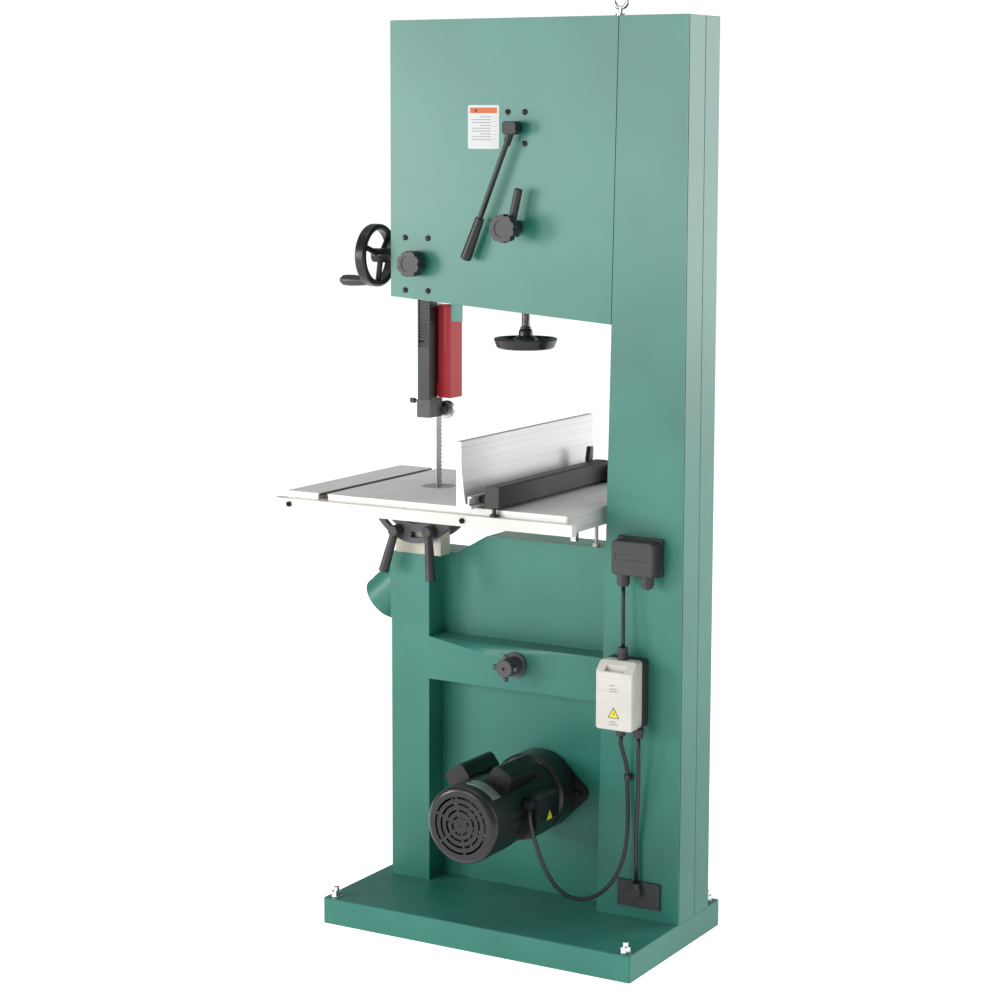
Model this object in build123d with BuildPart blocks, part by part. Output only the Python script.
from build123d import *
import os
from math import acos, atan2, cos, pi, radians, sin, sqrt, tan

# A 19 inch vertical band saw. Millimetres. The floor is Z = 0. +X is the blade side of the machine and -X the
# column side. -Y is the operator's side, with the doors, and +Y the back, with the motor.

# ---- driving dimensions ----
BODY_TOP = 1885.0          # top of the column and the head
BODY_X = 344.0             # half width of the body
BODY_BACK = 72.0           # back face of the head, column, leg and beam
PANEL_BACK = 14.0          # back face of the panel that carries the wheels
SEAM_Y = -4.0              # front edge of the frame, where the doors start
DOOR_FRONT = -72.0         # front face of the doors
SEAM_GAP = 2.0             # gap between a door and the frame
SHEET = 3.0                # frame sheet
DOOR_SHEET = 2.0
COLUMN_TOP_X = -192.0      # inner edge of the column at the top
COLUMN_FOOT_X = -157.0     # inner edge of the column on the base
BASE_H = 55.0
BASE_X = (-344.0, 380.0)
BASE_Y = (-127.0, 286.0)
BASE_WALL = 4.0
HEAD_LOW_X = 1311.0        # underside of the head at the blade side
HEAD_LOW_COLUMN = 1273.0   # underside of the head at the column
HOUSING_TOP = 806.0        # top of the lower housing
LEG_TOP = 765.0            # top of the leg under the table
LEG_INNER = 250.0
BEAM_Z = (498.0, 590.0)
COVER_X = -222.0           # edge between the column cover and the doors

WHEEL_X = 38.0
UPPER_Z = 1605.0
LOWER_Z = 553.0
WHEEL_R = 238.0            # rim
TYRE_T = 3.0
WHEEL_W = 28.0
BLADE_Y = -16.0
BLADE_W = 19.0
BLADE_T = 0.9
BLADE_CLEAR = 0.35         # between the tyres and the blade
BEARING_R = 26.0
BEARING_W = 15.0
AXLE_R = 12.5
FIT = 0.05                 # running fit, radial
LOOSE = 0.4                # loose hole, radial

BELT_Y = -43.0             # middle of the drive belt
BELT_W = 16.0
BELT_T = 5.0
BELT_SIDE = 0.5            # between the belt and the flanges of its pulleys
FLANGE_T = 2.0             # belt edge to the outside of a flange
BIG_PULLEY_R = 90.0
SMALL_PULLEY_R = 45.0
MOTOR_X = 5.0
MOTOR_Z = 282.0
MOTOR_R = 77.0
COWL_R = 80.0
BELL_R = 85.0
MOTOR_END = 350.0          # face of the fan cowl
COWL_BACK = 240.0

TABLE_X = (-155.0, 523.0)
TABLE_Y = (-245.0, 205.0)
TABLE_TOP = 900.0
TABLE_T = 38.0
TABLE_SKIN = 13.0
INSERT_R = 36.0
MITRE_X = 429.0
RAIL_D = 20.0
RAIL_Z = (863.0, 887.0)
RAIL_X = (-176.0, 540.0)

POST_X = 279.0
POST_Y = 31.0
POST_W = 32.0
POST_D = 30.0
POST_Z = (1092.0, 1690.0)
POST_FIT = 0.4
RACK_TEETH = 54
PINION_TEETH = 10
TOOTH_PITCH = 2 * pi
PINION_Z = 1395.0
PINION_REACH = 10.0        # pinion axis to the pitch line
ADDENDUM = 1.0

TENSION_Z = 1664.0         # quick-release lever
TRACKING_Z = 1462.0
TRAVEL_DOWN = 12.0         # tension carriage
SCREW_R = 8.0
ARC_R = 92.0               # trunnion studs from the tilt axis
ARC_OUTER = 110.0
STUD_R = 6.0
STUD_ANGLES = (-30.0, 24.0)
TILT_MAX = 30.0
PORT_R = 50.0
PORT_ANGLE = 40.0
PORT_Z = 692.0
PORT_LEN = 68.0
CABLE_R = 4.0

BLADE_X = WHEEL_X + WHEEL_R + TYRE_T + BLADE_CLEAR + BLADE_T / 2
RISING_X = 2 * WHEEL_X - BLADE_X
FRONT_OF_PANEL = PANEL_BACK - SHEET
HINGE_X = COVER_X + 1
HINGE_Y = DOOR_FRONT - 7


def column_edge(z):
    """X of the column's inner edge at height z."""
    return COLUMN_TOP_X + (BODY_TOP - z) / (BODY_TOP - BASE_H) * (COLUMN_FOOT_X - COLUMN_TOP_X)


def at_y(y):
    """Sketch plane facing the front, local x = X and local y = Z. It extrudes towards the front."""
    return Plane.XZ.offset(-y)


def at_x(x):
    """Sketch plane facing the blade side, local x = Y and local y = Z."""
    return Plane.YZ.offset(x)


def along_y(x, z, y):
    """Frame for a turned part whose axis runs along Y through (x, z): local x = radius, local y = Y."""
    return Plane(origin=(x, y, z), x_dir=(1, 0, 0), z_dir=(0, 0, 1))


def save(piece, name):
    piece.part.label = name
    export_step(piece.part, f"parts/{name}.step")


def outline(points):
    """Closed straight-sided face in the current sketch."""
    Polygon(*points, align=None)


def box_between(x, y, z, mode=Mode.ADD):
    """Box from its three pairs of limits."""
    centre = Vector((x[0] + x[1]) / 2, (y[0] + y[1]) / 2, (z[0] + z[1]) / 2)
    with Locations(centre):
        Box(x[1] - x[0], y[1] - y[0], z[1] - z[0], mode=mode)


def rod(start, end, radius, mode=Mode.ADD):
    """Cylinder between two points."""
    way = Vector(*end) - Vector(*start)
    with BuildSketch(Plane(origin=start, z_dir=way)) as section:
        Circle(radius)
    extrude(section.sketch, amount=way.length, mode=mode)


def tube(start, end, radius, bore):
    """Round tube between two points."""
    rod(start, end, radius)
    rod(start, end, bore, mode=Mode.SUBTRACT)


os.makedirs("parts", exist_ok=True)

# ---- base plinth and the bright bolts in its corners ----
BOLT_INSET = 20.0
BOLT_R = 6.0
base_middle = ((BASE_X[0] + BASE_X[1]) / 2, (BASE_Y[0] + BASE_Y[1]) / 2)
base_size = (BASE_X[1] - BASE_X[0], BASE_Y[1] - BASE_Y[0])
bolt_grid = (base_size[0] - 2 * BOLT_INSET, base_size[1] - 2 * BOLT_INSET, 2, 2)

with BuildPart() as base_plinth:
    with BuildSketch(Plane.XY):
        with Locations(base_middle):
            RectangleRounded(*base_size, 4)
    extrude(amount=BASE_H)
    chamfer(base_plinth.faces().sort_by(Axis.Z)[-1].edges(), 1.5)
    with BuildSketch(Plane.XY.offset(BASE_WALL)):
        with Locations(base_middle):
            Rectangle(base_size[0] - 2 * BASE_WALL, base_size[1] - 2 * BASE_WALL)
    extrude(amount=BASE_H - 2 * BASE_WALL, mode=Mode.SUBTRACT)
    with BuildSketch(Plane.XY.offset(BASE_H - BASE_WALL)):
        with Locations(base_middle):
            with GridLocations(*bolt_grid):
                Circle(BOLT_R + LOOSE)
    extrude(amount=BASE_WALL, mode=Mode.SUBTRACT)
save(base_plinth, "base_plinth")

EYE_X = -174.0
EYE_Y = 30.0
EYE_RING_R = 14.0
EYE_WIRE_R = 4.0
EYE_Z = BODY_TOP + 30.0
with BuildPart() as frame_bolts:
    with BuildSketch(Plane.XY.offset(BASE_H - BASE_WALL - 7)):
        with Locations(base_middle):
            with GridLocations(*bolt_grid):
                Circle(12)
    extrude(amount=7)
    with BuildSketch(Plane.XY.offset(BASE_H - BASE_WALL)):
        with Locations(base_middle):
            with GridLocations(*bolt_grid):
                Circle(BOLT_R)
    extrude(amount=25)
    with BuildSketch(Plane.XY.offset(BASE_H)):
        with Locations(base_middle):
            with GridLocations(*bolt_grid):
                Circle(12)
    extrude(amount=2)
    with BuildSketch(Plane.XY.offset(BASE_H + 2)):
        with Locations(base_middle):
            with GridLocations(*bolt_grid):
                RegularPolygon(11, 6)
    extrude(amount=10)
    with BuildSketch(Plane.XY.offset(BODY_TOP)):
        with Locations((EYE_X, EYE_Y)):
            Circle(11)
    extrude(amount=5)
    rod((EYE_X, EYE_Y, BODY_TOP), (EYE_X, EYE_Y, EYE_Z - EYE_RING_R), 5)
    with BuildSketch(Plane(origin=(EYE_X, EYE_Y, EYE_Z), x_dir=(1, 0, 0), z_dir=(0, 0, 1))):
        with Locations((EYE_RING_R, 0)):
            Circle(EYE_WIRE_R)
    revolve(axis=Axis((EYE_X, EYE_Y, EYE_Z), (0, 1, 0)))
save(frame_bolts, "frame_bolts")

# ---- column: a closed sheet box with a tapering inner edge, and a lip that the front cover seats on ----
COLUMN_WALL = 4.0
GROOVE = 3.0
column_outline = [
    (-BODY_X, BASE_H),
    (COLUMN_FOOT_X, BASE_H),
    (COLUMN_TOP_X, BODY_TOP),
    (-BODY_X, BODY_TOP),
]
with BuildPart() as column:
    with BuildSketch(at_y(BODY_BACK)):
        outline(column_outline)
    extrude(amount=BODY_BACK - FRONT_OF_PANEL)
    with BuildSketch(at_y(BODY_BACK - COLUMN_WALL)):
        outline(column_outline)
        offset(amount=-COLUMN_WALL, kind=Kind.INTERSECTION, mode=Mode.REPLACE)
    extrude(amount=BODY_BACK - FRONT_OF_PANEL - 2 * COLUMN_WALL, mode=Mode.SUBTRACT)
    # the dark shut line where the back plate laps the side sheet
    box_between((-BODY_X, -BODY_X + 2.6), (BODY_BACK - 2.4 - GROOVE, BODY_BACK - 2.4),
                (BASE_H, BODY_TOP), mode=Mode.SUBTRACT)
    box_between((-BODY_X, -BODY_X + SHEET), (SEAM_Y, FRONT_OF_PANEL), (BASE_H, BODY_TOP))
    box_between((column_edge(HOUSING_TOP) - SHEET - 8, column_edge(HEAD_LOW_COLUMN)),
                (SEAM_Y, FRONT_OF_PANEL), (HOUSING_TOP + 2, HEAD_LOW_COLUMN - 2))
save(column, "column")

# ---- fixed front cover over the column: the blade's rising run passes behind its middle ----
cover_outline = [
    (-BODY_X, BASE_H),
    (COVER_X, BASE_H),
    (COVER_X, HOUSING_TOP + SEAM_GAP),
    (column_edge(HOUSING_TOP), HOUSING_TOP + SEAM_GAP),
    (column_edge(HEAD_LOW_COLUMN), HEAD_LOW_COLUMN - SEAM_GAP),
    (COVER_X, HEAD_LOW_COLUMN - SEAM_GAP),
    (COVER_X, BODY_TOP),
    (-BODY_X, BODY_TOP),
]
with BuildPart() as column_front_cover:
    with BuildSketch(at_y(SEAM_Y)):
        outline(cover_outline)
    extrude(amount=SEAM_Y - DOOR_FRONT)
    with BuildSketch(at_y(SEAM_Y)):
        outline(cover_outline)
        offset(amount=-SHEET, kind=Kind.INTERSECTION, mode=Mode.REPLACE)
    extrude(amount=SEAM_Y - DOOR_FRONT - SHEET, mode=Mode.SUBTRACT)
    # the blade enters at the top and leaves at the bottom of the middle stretch
    for pass_z in (HOUSING_TOP + SEAM_GAP + SHEET / 2, HEAD_LOW_COLUMN - SEAM_GAP - SHEET / 2):
        box_between((COVER_X + SHEET, column_edge(HEAD_LOW_COLUMN) - SHEET - 4), (DOOR_FRONT + 20, SEAM_Y),
                    (pass_z - SHEET, pass_z + SHEET), mode=Mode.SUBTRACT)
    box_between((-BODY_X, -BODY_X + 2), (SEAM_Y - SEAM_GAP, SEAM_Y), (BASE_H, BODY_TOP), mode=Mode.SUBTRACT)
save(column_front_cover, "column_front_cover")

# ---- head: sheet box behind the upper wheel, with a lip forward to the door seam ----
COLUMN_GAP = 1.5
head_outline = [
    (BODY_X, HEAD_LOW_X),
    (BODY_X, BODY_TOP),
    (COLUMN_TOP_X + COLUMN_GAP, BODY_TOP),
    (column_edge(HEAD_LOW_COLUMN) + COLUMN_GAP, HEAD_LOW_COLUMN),
]
tension_screws = [(WHEEL_X + 3 + dx, TENSION_Z + dz) for dx in (-20, 20) for dz in (-32, 32)]
post_screws = [(POST_X + 1 + dx, 1380 + dz) for dx in (-28, 28) for dz in (-55, 55)]
TAP_R = 2.5
RAIL_GAP = 46.0            # half width of the carriage
SLIDE_FIT = 0.5
LOCK_KNOB_Z = 1382.0
with BuildPart() as head_housing:
    with BuildSketch(at_y(BODY_BACK)):
        outline(head_outline)
    extrude(amount=BODY_BACK - FRONT_OF_PANEL)
    with BuildSketch(at_y(BODY_BACK - SHEET)):
        outline(head_outline)
        offset(amount=-SHEET, kind=Kind.INTERSECTION, mode=Mode.REPLACE)
    extrude(amount=BODY_BACK - FRONT_OF_PANEL - 2 * SHEET, mode=Mode.SUBTRACT)
    # forward lip along the top, the blade side and the underside
    with BuildSketch(at_y(FRONT_OF_PANEL)):
        outline(head_outline)
        with BuildLine():
            Polyline(
                (BODY_X - SHEET, HEAD_LOW_X + SHEET),
                (BODY_X - SHEET, BODY_TOP - SHEET),
                (COLUMN_TOP_X - 10, BODY_TOP - SHEET),
                (column_edge(HEAD_LOW_COLUMN) - 10, HEAD_LOW_COLUMN + SHEET - 1),
                close=True,
            )
        make_face(mode=Mode.SUBTRACT)
    extrude(amount=FRONT_OF_PANEL - SEAM_Y)
    # window for the wheel axle, way through for the guard and the post
    box_between((WHEEL_X - 34, WHEEL_X + 34), (FRONT_OF_PANEL, PANEL_BACK),
                (UPPER_Z - TRAVEL_DOWN - 40, UPPER_Z + 40), mode=Mode.SUBTRACT)
    box_between((POST_X - 75, POST_X + 26), (SEAM_Y, FRONT_OF_PANEL), (1255, 1330), mode=Mode.SUBTRACT)
    box_between((POST_X - POST_W / 2 - 2, POST_X + POST_W / 2 + 2),
                (POST_Y - POST_D / 2 - 2, POST_Y + POST_D / 2 + 2), (1260, 1330), mode=Mode.SUBTRACT)
    # two bars that guide the tension carriage
    for side in (-1, 1):
        guide = sorted((WHEEL_X + side * (RAIL_GAP + SLIDE_FIT), WHEEL_X + side * (RAIL_GAP + 14)))
        box_between(guide, (PANEL_BACK, BODY_BACK - SHEET), (1330, 1860))
    # holes in the back sheet
    with BuildSketch(at_y(BODY_BACK)):
        with Locations(*tension_screws, *post_screws):
            Circle(TAP_R)
        with Locations((WHEEL_X, TENSION_Z)):
            Circle(8 + FIT)
        with Locations((POST_X, LOCK_KNOB_Z)):
            Circle(5 + FIT)
        with Locations((WHEEL_X, TRACKING_Z - TRAVEL_DOWN / 2)):
            SlotOverall(TRAVEL_DOWN + 14, 14, rotation=90)
    extrude(amount=SHEET, mode=Mode.SUBTRACT)
    rod((BODY_X - SHEET, POST_Y + POST_D / 2 + 9, PINION_Z), (BODY_X, POST_Y + POST_D / 2 + 9, PINION_Z),
        7 + LOOSE, mode=Mode.SUBTRACT)
    # the tension screw's hole in the underside
    rod((WHEEL_X, 35, 1250), (WHEEL_X, 35, 1320), SCREW_R + LOOSE, mode=Mode.SUBTRACT)
    # keeper for the door latch
    box_between((BODY_X - 20, BODY_X - SHEET), (SEAM_Y - 10, SEAM_Y - 7), (1490, 1530))
    box_between((BODY_X - SHEET - 3, BODY_X - SHEET), (SEAM_Y - 10, SEAM_Y + 2), (1490, 1530))
save(head_housing, "head_housing")

# ---- lower housing: panel, leg and beam, with a lip forward to the door seam ----
panel_outline = [
    (BODY_X, BASE_H),
    (BODY_X, LEG_TOP),
    (215, LEG_TOP),
    (144, HOUSING_TOP),
    (column_edge(HOUSING_TOP) + COLUMN_GAP, HOUSING_TOP),
    (COLUMN_FOOT_X + COLUMN_GAP, BASE_H),
]
HUB_R = 19.0
with BuildPart() as lower_housing:
    with BuildSketch(at_y(PANEL_BACK)):
        outline(panel_outline)
    extrude(amount=SHEET)
    with BuildSketch(at_y(PANEL_BACK)):
        outline(panel_outline)
        offset(amount=-SHEET, kind=Kind.INTERSECTION, mode=Mode.SUBTRACT)
    extrude(amount=PANEL_BACK - SEAM_Y)
    box_between((COLUMN_TOP_X, COLUMN_FOOT_X + 20), (SEAM_Y, FRONT_OF_PANEL), (BASE_H + SHEET, HOUSING_TOP - SHEET),
                mode=Mode.SUBTRACT)
    # leg and beam as closed boxes behind the panel
    box_between((LEG_INNER, BODY_X), (PANEL_BACK, BODY_BACK), (BASE_H, LEG_TOP))
    box_between((column_edge(540) + COLUMN_GAP, LEG_INNER), (PANEL_BACK, BODY_BACK), BEAM_Z)
    box_between((LEG_INNER + SHEET, BODY_X - SHEET), (PANEL_BACK, BODY_BACK - SHEET),
                (BASE_H + SHEET, LEG_TOP - SHEET), mode=Mode.SUBTRACT)
    box_between((column_edge(540) + COLUMN_GAP + SHEET, LEG_INNER - SHEET), (PANEL_BACK, BODY_BACK - SHEET),
                (BEAM_Z[0] + SHEET, BEAM_Z[1] - SHEET), mode=Mode.SUBTRACT)
    with BuildSketch(at_y(BODY_BACK)):
        with Locations((WHEEL_X, LOWER_Z)):
            Circle(HUB_R + LOOSE)
    extrude(amount=BODY_BACK - FRONT_OF_PANEL, mode=Mode.SUBTRACT)
    with BuildSketch(at_y(PANEL_BACK)):
        with Locations((MOTOR_X, MOTOR_Z)):
            Circle(20)
    extrude(amount=SHEET, mode=Mode.SUBTRACT)
    # dust way: through the panel into the leg, and out of its side
    box_between((LEG_INNER + 10, BODY_X - 10), (FRONT_OF_PANEL - 1, PANEL_BACK + 1), (640, 740), mode=Mode.SUBTRACT)
    box_between((BODY_X - SHEET - 1, BODY_X + 1), (PANEL_BACK + 4, BODY_BACK - 8), (650, 735), mode=Mode.SUBTRACT)
    # keeper for the door latch
    box_between((BODY_X - 20, BODY_X - SHEET), (SEAM_Y - 10, SEAM_Y - 7), (290, 330))
    box_between((BODY_X - SHEET - 3, BODY_X - SHEET), (SEAM_Y - 10, SEAM_Y + 2), (290, 330))
save(lower_housing, "lower_housing")


# ---- doors ----
LATCH_X = 306.0
HINGE_HALF = 30.0
UPPER_HINGES = (1380.0, 1740.0)
LOWER_HINGES = (150.0, 650.0)
UPPER_KNOB_Z = 1510.0
LOWER_KNOB_Z = 310.0
DOOR_EDGE = COVER_X + SEAM_GAP


def door(points, notch, knob_z, hinge_zs):
    """Folded pan with a notch for the blade, a hole for the latch and the upper half of each hinge."""
    with BuildPart() as pan:
        with BuildSketch(at_y(SEAM_Y - SEAM_GAP)):
            outline(points)
        extrude(amount=SEAM_Y - SEAM_GAP - DOOR_FRONT)
        with BuildSketch(at_y(SEAM_Y - SEAM_GAP)):
            outline(points)
            offset(amount=-DOOR_SHEET, kind=Kind.INTERSECTION, mode=Mode.REPLACE)
        extrude(amount=SEAM_Y - SEAM_GAP - DOOR_FRONT - DOOR_SHEET, mode=Mode.SUBTRACT)
        box_between(*notch, mode=Mode.SUBTRACT)
        box_between((RISING_X - 10, RISING_X + 10), notch[1], notch[2], mode=Mode.SUBTRACT)
        rod((LATCH_X, DOOR_FRONT + 5, knob_z), (LATCH_X, DOOR_FRONT - 5, knob_z), 5 + FIT, mode=Mode.SUBTRACT)
        for z in hinge_zs:
            box_between((COVER_X + 3, COVER_X + 32), (DOOR_FRONT - 4, DOOR_FRONT), (z + HINGE_HALF, z + 2 * HINGE_HALF))
            rod((HINGE_X, HINGE_Y, z + HINGE_HALF), (HINGE_X, HINGE_Y, z + 2 * HINGE_HALF), 6)
            rod((HINGE_X, HINGE_Y, z + HINGE_HALF), (HINGE_X, HINGE_Y, z + 2 * HINGE_HALF), 3 + FIT,
                mode=Mode.SUBTRACT)
        # the hinge side has only a shallow flange, so that the door swings clear of the wheel
        box_between((DOOR_EDGE - 1, DOOR_EDGE + DOOR_SHEET + 0.5), (DOOR_FRONT + 14, SEAM_Y), (BASE_H, BODY_TOP + 1),
                    mode=Mode.SUBTRACT)
    return pan


upper_door = door(
    [
        (BODY_X, HEAD_LOW_X),
        (BODY_X, BODY_TOP),
        (DOOR_EDGE, BODY_TOP),
        (DOOR_EDGE, HEAD_LOW_COLUMN),
        (column_edge(HEAD_LOW_COLUMN), HEAD_LOW_COLUMN),
    ],
    ((POST_X - 78, POST_X + 28), (-48, SEAM_Y), (1250, 1330)),
    UPPER_KNOB_Z,
    UPPER_HINGES,
)
save(upper_door, "upper_door")
lower_door = door(
    [
        (BODY_X, BASE_H + 1),
        (BODY_X, LEG_TOP),
        (215, LEG_TOP),
        (144, HOUSING_TOP),
        (DOOR_EDGE, HOUSING_TOP),
        (DOOR_EDGE, BASE_H + 1),
    ],
    ((BLADE_X - 12, BLADE_X + 12), (-34, SEAM_Y), (750, HOUSING_TOP + 5)),
    LOWER_KNOB_Z,
    LOWER_HINGES,
)
save(lower_door, "lower_door")

with BuildPart() as door_hinges:
    for z in UPPER_HINGES + LOWER_HINGES:
        box_between((COVER_X - 32, COVER_X - 1), (DOOR_FRONT - 4, DOOR_FRONT), (z, z + HINGE_HALF - 0.5))
        rod((HINGE_X, HINGE_Y, z), (HINGE_X, HINGE_Y, z + HINGE_HALF - 0.5), 6)
        rod((HINGE_X, HINGE_Y, z), (HINGE_X, HINGE_Y, z + 2 * HINGE_HALF - 1), 3)
save(door_hinges, "door_hinges")


def latch(knob_z):
    """Door knob with its spindle and a cam that points down when the door is free."""
    with BuildPart() as knob:
        rod((LATCH_X, DOOR_FRONT - 0.4, knob_z), (LATCH_X, DOOR_FRONT - 8, knob_z), 13)
        with BuildSketch(at_y(DOOR_FRONT - 8)):
            with Locations((LATCH_X, knob_z)):
                Circle(22)
                with PolarLocations(24, 6):
                    Circle(6, mode=Mode.SUBTRACT)
        extrude(amount=18)
        fillet(knob.faces().sort_by(Axis.Y)[0].edges(), 2)
        rod((LATCH_X, DOOR_FRONT - 10, knob_z), (LATCH_X, SEAM_Y - 3, knob_z), 5)
        box_between((LATCH_X - 5, LATCH_X + 5), (SEAM_Y - 6, SEAM_Y - 3), (knob_z - 30, knob_z))
    return knob


save(latch(UPPER_KNOB_Z), "upper_door_knob")
save(latch(LOWER_KNOB_Z), "lower_door_knob")

# ---- black button-head screws in the back of the head ----
with BuildPart() as head_screws:
    for x, z in tension_screws + post_screws:
        with BuildSketch(along_y(x, z, BODY_BACK)):
            with BuildLine():
                Polyline((0, -SHEET), (TAP_R, -SHEET), (TAP_R, 0), (6, 0), (6, 1.2))
                ThreePointArc((6, 1.2), (4.2, 3.4), (1.8, 4.2))
                Polyline((1.8, 4.2), (1.8, 2.0), (0, 2.0), (0, -SHEET))
            make_face()
        revolve(axis=Axis((x, BODY_BACK, z), (0, 1, 0)))
save(head_screws, "head_screws")

# ---- blade, as the closed loop round both wheels ----
blade_inner = WHEEL_R + TYRE_T + BLADE_CLEAR
with BuildPart() as blade:
    with BuildSketch(at_y(BLADE_Y + BLADE_W / 2)):
        with Locations((WHEEL_X, (UPPER_Z + LOWER_Z) / 2)):
            SlotCenterToCenter(UPPER_Z - LOWER_Z, 2 * (blade_inner + BLADE_T), rotation=90)
            SlotCenterToCenter(UPPER_Z - LOWER_Z, 2 * blade_inner, rotation=90, mode=Mode.SUBTRACT)
    extrude(amount=BLADE_W)
save(blade, "blade")


# ---- wheels ----
def wheel(zc, sheave=False):
    """Cast spoked wheel, bored for two ball bearings. The lower one carries the belt sheave on its hub."""
    half = WHEEL_W / 2
    hub_y = 20
    with BuildPart() as cast:
        with BuildSketch(along_y(WHEEL_X, zc, BLADE_Y)):
            with BuildLine():
                Polyline(
                    (BEARING_R + FIT, -20),
                    (40, -20),
                    (44, -6),
                    (218, -5),
                    (222, -half),
                    (WHEEL_R, -half),
                    (WHEEL_R, half),
                    (222, half),
                    (218, 5),
                    (44, 6),
                    (40, 20),
                    (BEARING_R + FIT, 20),
                    close=True,
                )
            make_face()
        revolve(axis=Axis((WHEEL_X, BLADE_Y, zc), (0, 1, 0)))
        with BuildSketch(at_y(BLADE_Y + 8)):
            with Locations((WHEEL_X, zc)):
                with PolarLocations(134, 6):
                    Circle(52)
        extrude(amount=16, mode=Mode.SUBTRACT)
        if sheave:
            with BuildSketch(along_y(WHEEL_X, zc, BELT_Y)):
                outline(
                    [
                        (BEARING_R + FIT, BLADE_Y - hub_y - BELT_Y),
                        (44, BLADE_Y - hub_y - BELT_Y),
                        (44, 5),
                        (BIG_PULLEY_R - 12, 5),
                        (BIG_PULLEY_R - 12, BELT_W / 2 + FLANGE_T),
                        (BIG_PULLEY_R + 4, BELT_W / 2 + FLANGE_T),
                        (BIG_PULLEY_R + 4, BELT_W / 2 + BELT_SIDE),
                        (BIG_PULLEY_R, BELT_W / 2 + BELT_SIDE),
                        (BIG_PULLEY_R, -BELT_W / 2 - BELT_SIDE),
                        (BIG_PULLEY_R + 4, -BELT_W / 2 - BELT_SIDE),
                        (BIG_PULLEY_R + 4, -BELT_W / 2 - FLANGE_T),
                        (BIG_PULLEY_R - 12, -BELT_W / 2 - FLANGE_T),
                        (BIG_PULLEY_R - 12, -5),
                        (44, -5),
                        (44, -BELT_W / 2 - FLANGE_T),
                        (BEARING_R + FIT, -BELT_W / 2 - FLANGE_T),
                    ]
                )
            revolve(axis=Axis((WHEEL_X, BELT_Y, zc), (0, 1, 0)))
    return cast


def tyre(zc):
    """Rubber band on the rim."""
    with BuildPart() as band:
        with BuildSketch(at_y(BLADE_Y + WHEEL_W / 2)):
            with Locations((WHEEL_X, zc)):
                Circle(WHEEL_R + TYRE_T)
                Circle(WHEEL_R, mode=Mode.SUBTRACT)
        extrude(amount=WHEEL_W)
    return band


save(wheel(UPPER_Z), "upper_wheel")
save(tyre(UPPER_Z), "upper_tyre")
save(tyre(LOWER_Z), "lower_tyre")

save(wheel(LOWER_Z, sheave=True), "lower_wheel")


def bearing_pair(zc):
    """Two ball bearings and a lock nut, added to the axle in the current part."""
    for y in (BLADE_Y + 3, BLADE_Y - 3 - BEARING_W):
        rod((WHEEL_X, y + BEARING_W, zc), (WHEEL_X, y, zc), BEARING_R)
    rod((WHEEL_X, BLADE_Y + 6, zc), (WHEEL_X, BLADE_Y - 6, zc), 18)
    rod((WHEEL_X, BLADE_Y - 18, zc), (WHEEL_X, BLADE_Y - 24, zc), 20)


# ---- lower axle in its adjusting hub, with four radial screws ----
HUB_FACE = 122.0
with BuildPart() as lower_axle_hub:
    rod((WHEEL_X, HUB_FACE, LOWER_Z), (WHEEL_X, FRONT_OF_PANEL, LOWER_Z), HUB_R)
    rod((WHEEL_X, BODY_BACK + 6, LOWER_Z), (WHEEL_X, BODY_BACK, LOWER_Z), 27)
    chamfer(lower_axle_hub.faces().sort_by(Axis.Y)[-1].edges(), 1.5)
    with BuildSketch(at_y(HUB_FACE)):
        with Locations((WHEEL_X, LOWER_Z)):
            Circle(3.5)
    extrude(amount=4, mode=Mode.SUBTRACT)
    for turn in range(4):
        way = Vector(cos(turn * pi / 2), 0, sin(turn * pi / 2))
        seat = Vector(WHEEL_X, HUB_FACE - 9, LOWER_Z) + way * (HUB_R - 3)
        rod(tuple(seat), tuple(seat + way * 6), 3.5)
        rod(tuple(seat + way * 5), tuple(seat + way * 12), 5.5)
    rod((WHEEL_X, FRONT_OF_PANEL + 1, LOWER_Z), (WHEEL_X, BLADE_Y - 24, LOWER_Z), AXLE_R)
    bearing_pair(LOWER_Z)
save(lower_axle_hub, "lower_axle_hub")

# ---- drive belt ----
belt_run = sqrt((WHEEL_X - MOTOR_X) ** 2 + (LOWER_Z - MOTOR_Z) ** 2)
belt_lean = atan2(WHEEL_X - MOTOR_X, LOWER_Z - MOTOR_Z)
belt_open = (BIG_PULLEY_R - SMALL_PULLEY_R) / belt_run


def belt_outline(grow, mode=Mode.ADD):
    """Face inside a belt line that lies grow outside both pulleys."""
    big = BIG_PULLEY_R + grow
    small = SMALL_PULLEY_R + grow
    turn = pi / 2 - belt_lean
    lift = acos(-belt_open)
    ends = []
    for sign in (1, -1):
        angle = turn + sign * lift
        ends.append(Vector(WHEEL_X + big * cos(angle), LOWER_Z + big * sin(angle)))
        ends.append(Vector(MOTOR_X + small * cos(angle), MOTOR_Z + small * sin(angle)))
    top = Vector(WHEEL_X + big * cos(turn), LOWER_Z + big * sin(turn))
    foot = Vector(MOTOR_X - small * cos(turn), MOTOR_Z - small * sin(turn))
    with BuildLine() as border:
        Line(ends[0], ends[1])
        ThreePointArc(ends[1], foot, ends[3])
        Line(ends[3], ends[2])
        ThreePointArc(ends[2], top, ends[0])
    make_face(border.edges(), mode=mode)


with BuildPart() as drive_belt:
    with BuildSketch(at_y(BELT_Y + BELT_W / 2)):
        belt_outline(BLADE_CLEAR + BELT_T)
        belt_outline(BLADE_CLEAR, mode=Mode.SUBTRACT)
    extrude(amount=BELT_W)
save(drive_belt, "drive_belt")

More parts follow.
